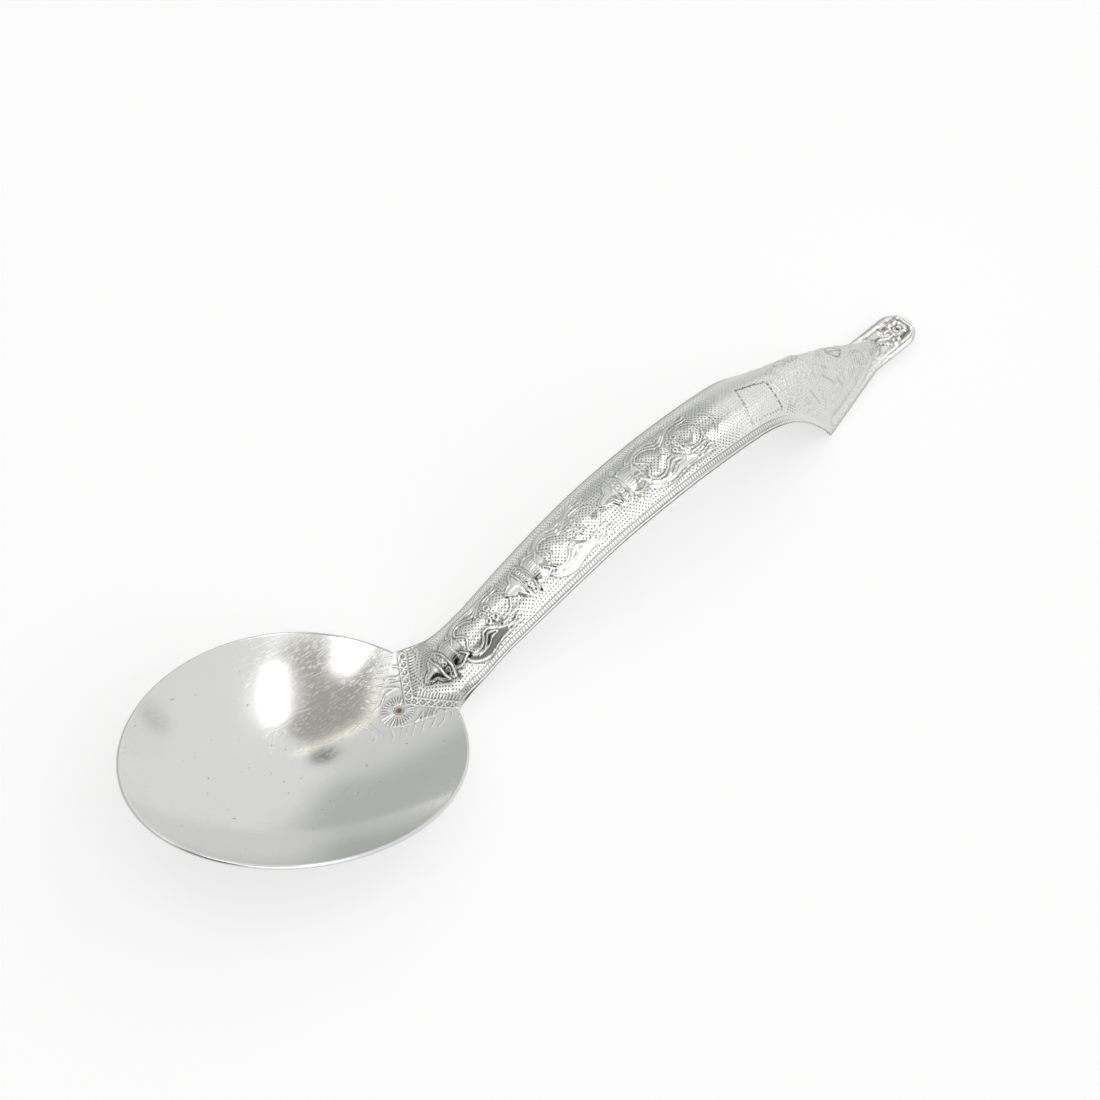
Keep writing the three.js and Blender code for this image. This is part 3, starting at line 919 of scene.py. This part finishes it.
# each side of the frame: distance from dot to dot, darkness
FRAME_DOTS = ((0.7, 0.5), (0.5, 0.85), (0.7, 0.8), (0.9, 0.2))
DOT_STRAY, DOT_SIZES, DOT_DEPTH = 0.2, (0.22, 0.4), 0.08
WORN_FROM, WORN_OVER, WORN_DOTS = 126, 8, 0.65
PATCH = ((147.6, 6.4), (150.6, 7.5), (148.2, 8.8), (145.3, 8))

worn = smooth((X - rim_x - WORN_FROM) / WORN_OVER)
ground *= 1 - WORN_DOTS * worn
frame_line = from_rim(FRAME)
frame_count = 0
chance = np.random.default_rng(4)
for (ax, ay), (bx, by), (gap, dark) in zip(frame_line[:-1], frame_line[1:], FRAME_DOTS):
    count = int(math.hypot(bx - ax, by - ay) / gap)
    frame_count += count
    for k in range(count):
        t = (k + 0.5) / count
        stray = chance.uniform(-DOT_STRAY, DOT_STRAY)
        dot(mix(ax, bx, t), mix(ay, by, t) + stray, chance.uniform(*DOT_SIZES), -DOT_DEPTH, dark, near_side)
hatched(from_rim(PATCH), near_side)
print("frame has", frame_count, "dots")

# %% Curls, scratches and leaf
CURLS, CURL_STEPS = 280, 7
CURLS_ALONG, CURLS_ACROSS = (147, 187), (-0.9, 0.9)
HOOD_SCRATCHES = (
    ((162.3, 4.2), (166, 5.6)),
    ((156.3, 6), (158.1, 8)),
    ((163.5, 2.9), (164.6, 3.2)),
    ((167.2, 5.1), (168.6, 5.9)),
)
TOP_LEAF = (
    ((168.2, 0), (169.4, 1.4), (171.2, 1.7), (173.6, 0.1)),
    ((168.2, 0), (169.4, -1.4), (171.2, -1.7), (173.6, 0.1)),
    ((169, 0), (172.4, 0.05)),
)

for _ in range(CURLS):
    x = rim_x + chance.uniform(*CURLS_ALONG)
    y = chance.uniform(*CURLS_ACROSS) * float(crease_width(x))
    heading = chance.uniform(0, 6.3) + np.linspace(0, chance.uniform(-3, 3), CURL_STEPS)
    stroke = chance.uniform(0.12, 0.3)
    curl = np.stack([x + stroke * np.cumsum(np.cos(heading)), y + stroke * np.cumsum(np.sin(heading))], 1)
    ridge(curl, 0.26, chance.uniform(0.07, 0.19), CLEAR, Y)
for scratch in HOOD_SCRATCHES:
    ridge(from_rim(scratch), 0.2, 0.0, CLEAR, near_side, 0.6)
for line in TOP_LEAF:
    ridge(flowing(line), 0.36, 0.06, CLEAR, Y, 0.9)
print("hood has", CURLS, "curls and", len(HOOD_SCRATCHES), "scratches")

# %% Strokes and the crease's line
NOSE_STROKES, STROKES_FROM, STROKES_STEP = 5, 172.5, 0.85
CREASE_STEPS, CREASE_INSET = 24, 0.15

for k in range(NOSE_STROKES):
    x = rim_x + STROKES_FROM + STROKES_STEP * k
    ridge([(x + 2.2, 1.0), (x + 3.0, 2.2), (x + 2.6, 3.4)], 0.26, 0.24, CLEAR, near_side)
crease_run = np.linspace(barb_x + 3, nose_x - 1, CREASE_STEPS)
crease_path = [(x, float(crease_width(x)) - CREASE_INSET) for x in crease_run]
# painted highlight: like every ridge, this raised line is coloured bright
ridge(crease_path, 0.4, 0.16, CLEAR, np.abs(Y))
print("crease is drawn over", round(float(crease_run[-1] - crease_run[0]), 1), "mm")

# %% Tab
TAB_BORDER, BORDER_WIDTH, BORDER_RISE = (0.5, 1.25), 0.26, 0.18
TAB_CURLS = (
    (((196.7, 2.1), (195.3, 2.8), (194.2, 1.8), (192.6, 1.1), (191.4, 1.6), (191.0, 2.8)), far_side),
    (((194.4, 3.5), (192.6, 3.4), (190.9, 2.7), (189.9, 1.4)), near_side),
    (((193.4, 2.3), (192.0, 1.7), (191.4, 0.6)), near_side),
    (((187.4, -1.6), (188.6, 0.2), (189.6, 0.9)), near_side),
    (((194.6, 3.6), (193.2, 2.9), (192.2, 3.3)), far_side),
    (((193.0, -0.6), (191.2, -0.4), (190.0, 0.4), (188.6, 0.6)), far_side),
)

eye_x = end_x - EYE_FROM_END
flat_tab = smooth((X - nose_x + 4) / 3)
ground *= 1 - flat_tab
for place in TAB_BORDER:
    height += BORDER_RISE * np.exp(-((inset - place) / BORDER_WIDTH) ** 2) * flat_tab
ring(eye_x, 0, 1.9, 0.5, 0.45, np.abs(Y))
ring(eye_x, 0, 0.85, 0.32, 0.25, np.abs(Y))
dot(eye_x, 0, 0.5, -0.15, 0.7, np.abs(Y))
for curl, cross in TAB_CURLS:
    ridge(flowing(curl), 0.36, 0.26, CLEAR, cross)
print("ring on the tab at X =", round(eye_x, 2), "mm")

# %% [markdown]
# ## Lip and cut edge
# Along both edges the die left a narrow lip, and the shears a cut that wear has rounded. The lip is a soft
# ridge, and the rounding draws the last quarter of a millimetre down. The metal is darkened in a thin line
# along the cut. At the root there is none of this, because there the sheet meets the bowl.

# %% Lip
LIP_PLACE, LIP_WIDTH, LIP_RISE = 0.56, 0.3, 0.16
EDGE_ROUND = 0.25
CUT_PLACE, CUT_WIDTH, CUT_FAINT = 0.12, 0.36, 0.35

height += lines
on_strip = smooth((X - corner[0] - 1.5) / 3) * (1 - smooth((X - notch_x - 4) / 12))
past_root = smooth((X - corner[0]) / 1.5)
height *= np.where(X < corner[0] + 1, smooth(inset / 0.5), 1)
height *= smooth(inset / 0.3)
height += LIP_RISE * np.exp(-((inset - LIP_PLACE) / LIP_WIDTH) ** 2) * on_strip
short = np.clip(EDGE_ROUND - inset, 0, EDGE_ROUND)
rounding = (EDGE_ROUND - np.sqrt(EDGE_ROUND ** 2 - short ** 2)) * past_root
cut_edge = (1 - smooth((inset - CUT_PLACE) / CUT_WIDTH)) * past_root
cut_edge = cut_edge * (CUT_FAINT + (1 - CUT_FAINT) * on_strip)
print("relief now", round(float(height.min()), 2), "to", round(float(height.max()), 2), "mm")

# %% [markdown]
# ## Pressing the handle
# Solidify turns a flat grid into a plate, and the upper face is subdivided once, because only it carries
# the fine relief. Then every point goes to its place: the upper face to the surface plus the relief, the
# lower one sheet below, with the relief softened, because metal pressed from above is blunter on its back.
# The difference between the relief and a softened copy shows the recesses, which get painted shade. The
# shade is paler where the ornament is worn and about 88 mm from the bowl's centre.

# %% Blunt the relief
RECESS_PASSES, RECESS_DEPTH, BACK_PASSES, BACK_SHARE = 5, 0.06, 8, 0.8
SHADE_FADE_PLACE, SHADE_FADE_REACH, SHADE_FADE = 88.0, 20.0, 0.6


def softened(relief, passes):
    for _ in range(passes):
        padded = np.pad(relief, 1, mode="edge")
        around = padded[:-2, 1:-1] + padded[2:, 1:-1] + padded[1:-1, :-2] + padded[1:-1, 2:]
        relief = (around + 2 * relief) / 6
    return relief


# painted shade: the recesses are darkened where the relief lies below its softened copy
recess_shade = np.clip((softened(height, RECESS_PASSES) - height) / RECESS_DEPTH, 0, 1)
recess_shade = recess_shade * smooth((inset - 0.6) / 0.5)
recess_shade *= 1 - 0.5 * worn * (1 - flat_tab)
recess_shade *= 1 - SHADE_FADE * np.exp(-((X - rim_x - SHADE_FADE_PLACE) / SHADE_FADE_REACH) ** 2)
back_relief = BACK_SHARE * softened(height, BACK_PASSES) * (1 - flat_tab)
print("recesses cover", round(float(recess_shade.mean()) * 100, 1), "% of the upper face")

# %% Press
PLATE, SMOOTH_UNDER = 0.1, math.radians(60)

handle = grid_sheet("handle_strip", COLUMNS // 2 + 1, len(rows) // 2 + 1)
apply_modifier(handle, "SOLIDIFY", "plate", thickness=PLATE, offset=-1)
bpy.ops.object.mode_set(mode="EDIT")
bpy.ops.mesh.select_mode(type="FACE")
edit = bmesh.from_edit_mesh(handle.data)
for face in edit.faces:
    face.select = face.normal.z > 0.5
bmesh.update_edit_mesh(handle.data)
bpy.ops.mesh.subdivide(number_cuts=1)
bpy.ops.object.mode_set(mode="OBJECT")

flat = get_points(handle.data)
row = np.rint((flat[:, 0] + 1) / 2 * (len(rows) - 1)).astype(int)
col = np.rint((flat[:, 1] + 1) / 2 * (COLUMNS - 1)).astype(int)
lower = flat[:, 2] < -PLATE / 2
top_face = base + up * (height - rounding)[..., None]
low_face = base + up * (back_relief + rounding - SHEET)[..., None]
set_points(handle.data, np.where(lower[:, None], low_face[row, col], top_face[row, col]))
bpy.ops.object.shade_smooth_by_angle(angle=SMOOTH_UNDER)
print("handle has", sum(len(face.vertices) - 2 for face in handle.data.polygons), "triangles")

# %% Marks for the finishes
upper_marks = {
    "ground": ground, "hatch": hatch, "dark_marks_and_shade": dark_marks_and_shade, "recess_shade": recess_shade,
    "strip": on_strip * (1 - 0.5 * smooth(far_side / 4)),
    "worn": worn * (1 - flat_tab),
    "tongue": 1 - smooth((X - start_x + 1) / 2),
    "stain": 1 - smooth((pit - 0.3) / 1.2),
    # painted highlight: the ridges are coloured near white
    "bright": np.clip(lines / LINE_RISE, 0, 1),
}
for name, values in upper_marks.items():
    give_attribute(handle, name, values[row, col] * ~lower)
both_marks = {"along": X, "across": across_mm, "inset": inset, "cut": cut_edge}
for name, values in both_marks.items():
    give_attribute(handle, name, values[row, col])
print("handle carries", len(upper_marks) + len(both_marks), "marks")

# %% [markdown]
# ## Aluminium
# Both pieces are bright metal with the soft, slightly wavy gloss of rolled sheet and scratches that run
# every way, and the bowl has a few specks. The handle is a little brighter, because the die burnished it,
# and its tongue takes the bowl's tone. The dotted ground, the hatching and the ladder border are bump and
# colour, because they are finer than the mesh, and the colour is painted shade in their pits. Painted shade
# darkens the recesses and the figures' near halves, and the ridges and strokes get a painted highlight.

# %% What the two finishes share
METAL, METAL_DULL = (0.87, 0.872, 0.86, 1), (0.8, 0.8, 0.775, 1)
PRESSED, PRESSED_DULL = (0.93, 0.932, 0.92, 1), (0.87, 0.87, 0.85, 1)
LINE_HIGHLIGHT = (0.97, 0.97, 0.96, 1)
CLOUD_SCALE, GRAIN_SCALE, SCRATCH_SCALE = 55.0, 2200.0, (520, 3600, 520)
CLOUD_EDGE, CLOUD_SHARE, SCRATCH_EDGE = (0.35, 0.75), 0.4, 0.06
FINE_DEPTH = 0.00002


def scratches(net, place, turn, density):
    sockets = {"Vector": place, "Rotation": (0, 0, turn), "Scale": SCRATCH_SCALE}
    turned = net.add("ShaderNodeMapping", sockets=sockets)
    return net.step(net.noise(turned, 1.0, 2.0), 0.5 + density, 0.5 + density + SCRATCH_EDGE)


def metal_base(name):
    metal = bpy.data.materials.new(name)
    net = Net(metal)
    place = net.add("ShaderNodeTexCoord", out=3)
    return metal, net, place, net.noise(place, CLOUD_SCALE, 4.0), net.noise(place, GRAIN_SCALE, 2.0)


def finish_metal(metal, net, colour, roughness, normal):
    sockets = {"Base Color": colour, "Metallic": 1.0, "Roughness": roughness, "Normal": normal}
    shader = net.add("ShaderNodeBsdfPrincipled", sockets=sockets)
    net.add("ShaderNodeOutputMaterial", sockets={"Surface": shader})
    print(metal.name, "has", len(net.tree.nodes), "nodes")
    return metal


# %% The bowl's metal
STROKE_PITCH, STROKE_REACH, STROKE_SWAY = 1.9, 3.2, 6.0
SPECK_DARK, SPECK_SCALE, SPECK_EDGE = (0.3, 0.28, 0.24, 1), 900.0, (0.755, 0.78)
WAVE_SCALE, WAVE_DEPTH = 38.0, 0.0001


def tongue_strokes(net, place):
    run, away = net.attribute("seam_run"), net.attribute("seam_away")
    bent = run + 0.4 * away + STROKE_SWAY * net.noise(place, 170.0, 1.0)
    stroke = net.step(net.sine(bent * (2 * math.pi / STROKE_PITCH)), 0.72, 0.95)
    ending = away + STROKE_SWAY * net.noise(place, 330.0, 0.0)
    return stroke * (1 - net.step(ending, STROKE_REACH + 1.6, STROKE_REACH + 3.0))


def bowl_metal():
    metal, net, place, cloud, grain = metal_base("bowl_aluminium")
    worn = scratches(net, place, 0.4, 0.12) + scratches(net, place, 1.7, 0.13)
    worn = worn + scratches(net, place, 2.6, 0.14)
    specks = net.step(net.noise(place, SPECK_SCALE, 1.0), *SPECK_EDGE)
    strokes = tongue_strokes(net, place)
    colour = net.blend(net.step(cloud, *CLOUD_EDGE) * CLOUD_SHARE, METAL, METAL_DULL)
    colour = net.blend(specks * 0.6, colour, SPECK_DARK)
    # painted highlight: the raised strokes are coloured near white
    colour = net.blend(strokes * 0.7, colour, LINE_HIGHLIGHT)
    roughness = 0.1 + 0.07 * cloud + 0.05 * worn + 0.03 * grain + 0.2 * specks
    slow = net.bump(1.0, WAVE_DEPTH, net.noise(place, WAVE_SCALE, 1.0) + strokes)
    fine = net.bump(0.25, FINE_DEPTH, worn + 0.5 * grain, Normal=slow)
    return finish_metal(metal, net, colour, roughness, fine)


bowl.data.materials.clear()
bowl.data.materials.append(bowl_metal())

# %% Dots, hatching and the ladder
DOT_PITCH, TICK_PITCH, HATCH_PITCH = 0.77, 0.7, 0.74
WOBBLE, SLANT = 0.7, 0.7071
RUNGS, RAILS, RAIL_WIDTH = (1.05, 1.95), (0.86, 2.15), 0.22


def lattice(net, first, second, pitch):
    turn = 2 * math.pi / pitch
    return net.step(net.sine(first * turn) + net.sine(second * turn), -1.6, -0.7)


def press_pattern(net, place, open_ground):
    along, wide, inset = net.attribute("along"), net.attribute("across"), net.attribute("inset")
    wobble = net.noise(place, 480.0, 1.0)
    along, wide = along + WOBBLE * wobble, wide - WOBBLE * wobble
    slant_up, slant_down = (along + wide) * SLANT, (along - wide) * SLANT
    patch = net.noise(place, 95.0, 0.0)
    straight = lattice(net, along, wide, DOT_PITCH)
    slanted = lattice(net, slant_up, slant_down, DOT_PITCH)
    dots = 1 - (straight + net.step(patch, 0.48, 0.52) * (slanted - straight))
    cross = 1 - lattice(net, slant_up, slant_down, HATCH_PITCH)
    ticks = net.step(net.sine(along * (2 * math.pi / TICK_PITCH)), 0.0, 0.8)
    ladder = 0.7 * net.between(inset, *RUNGS, 0.12) * ticks
    for rail in RAILS:
        ladder = ladder + 0.8 * net.near(inset, rail, RAIL_WIDTH)
    return open_ground * dots + net.attribute("hatch") * cross + net.attribute("strip") * ladder


def worn_texture(net, place):
    leaves = net.noise(place, 620.0, 2.0, Distortion=1.5)
    sockets = {"Vector": place, "Scale": 150.0, "Distortion": 14.0}
    curls = net.add("ShaderNodeTexWave", sockets=sockets, out=1)
    return net.attribute("worn") * (net.step(leaves, 0.35, 0.65) + 0.25 * curls)


# %% The handle's metal
PIT_SHADE, RECESS_SHADE = (0.14, 0.14, 0.135, 1), (0.16, 0.16, 0.155, 1)
MARK_AND_SHADE_BLACK, CUT_DARK = (0.04, 0.038, 0.036, 1), (0.07, 0.07, 0.068, 1)
STAIN_BROWN = (0.22, 0.13, 0.06, 1)
GROUND_EDGE, PRESS_DEPTH = (2.3, 2.6), 0.00012


def handle_metal():
    metal, net, place, cloud, grain = metal_base("handle_aluminium")
    open_ground = net.attribute("ground") * net.step(net.attribute("inset"), *GROUND_EDGE)
    faded, stain, cut = net.attribute("worn"), net.attribute("stain"), net.attribute("cut")
    worn = scratches(net, place, 0.7, 0.13) + scratches(net, place, 2.2, 0.14)
    pits = press_pattern(net, place, open_ground)
    colour = net.blend(net.attribute("tongue"), PRESSED, METAL)
    layers = (
        (net.step(cloud, *CLOUD_EDGE) * CLOUD_SHARE, PRESSED_DULL),
        # painted shade in the pits of the dots, hatching and ladder
        (pits * 0.74, PIT_SHADE),
        # painted shade in the recesses
        (net.attribute("recess_shade") * 0.85, RECESS_SHADE),
        # painted shade on the figures' near halves, and dark marks on the hood and tab
        (net.attribute("dark_marks_and_shade") * 0.95, MARK_AND_SHADE_BLACK),
        # painted highlight on the ridges
        (net.attribute("bright"), LINE_HIGHLIGHT),
        (cut * 0.95, CUT_DARK),
        (stain * 0.85, STAIN_BROWN),
    )
    for share, tone in layers:
        colour = net.blend(share, colour, tone)
    roughness = 0.12 + 0.06 * cloud + 0.07 * worn + 0.06 * open_ground
    roughness = roughness + 0.13 * faded + 0.3 * stain + 0.25 * cut
    press = net.bump(1.0, PRESS_DEPTH, 0.35 * worn_texture(net, place) - pits)
    fine = net.bump(0.2, FINE_DEPTH, worn + 0.5 * grain, Normal=press)
    return finish_metal(metal, net, colour, roughness, fine)


handle.data.materials.clear()
handle.data.materials.append(handle_metal())

# %% [markdown]
# ## Putting it together
# Each mesh stands for its CAD node, whose own solid is hidden, and rides on the spoon's only body.

# %% Ride, replace and finish
for piece, node in ((bowl, "bowl"), (handle, "handle")):
    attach(piece, "root")
    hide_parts(node)
